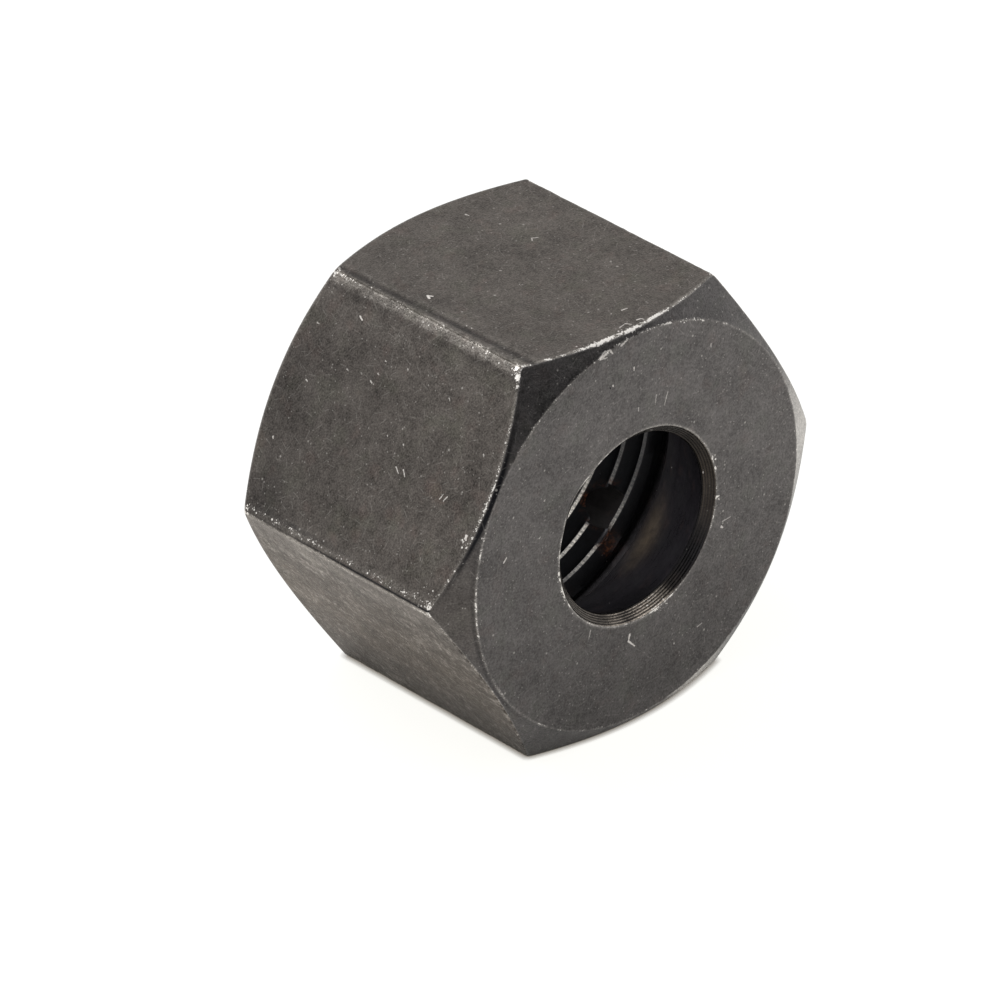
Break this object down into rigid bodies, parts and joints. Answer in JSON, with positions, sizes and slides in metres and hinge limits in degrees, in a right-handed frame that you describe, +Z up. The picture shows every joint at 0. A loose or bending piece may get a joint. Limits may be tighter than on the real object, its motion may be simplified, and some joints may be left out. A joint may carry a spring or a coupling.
{
  "type": "collet nut",
  "caption": "Hexagonal collet nut: bored front with a tapered seat inside, threaded socket at the rear, and a small drilled hole in the socket wall.",
  "frame": {"origin": "middle of the flat that the nut lies on, below the middle of its length", "axes": "+Z up, square to the flat that it lies on; the nut's axis runs along Y, 12.5 mm up, with the bored front facing -Y and the threaded rear facing +Y; X runs across two corners of the hexagon"},
  "size_m": [0.0288, 0.018, 0.025],
  "materials": {
    "black_oxide_steel": "black oxide over turned and milled steel, satin, with bright worn edges"
  },
  "bodies": {
    "root": {"collet_nut": "black_oxide_steel"}
  },
  "joints": []
}
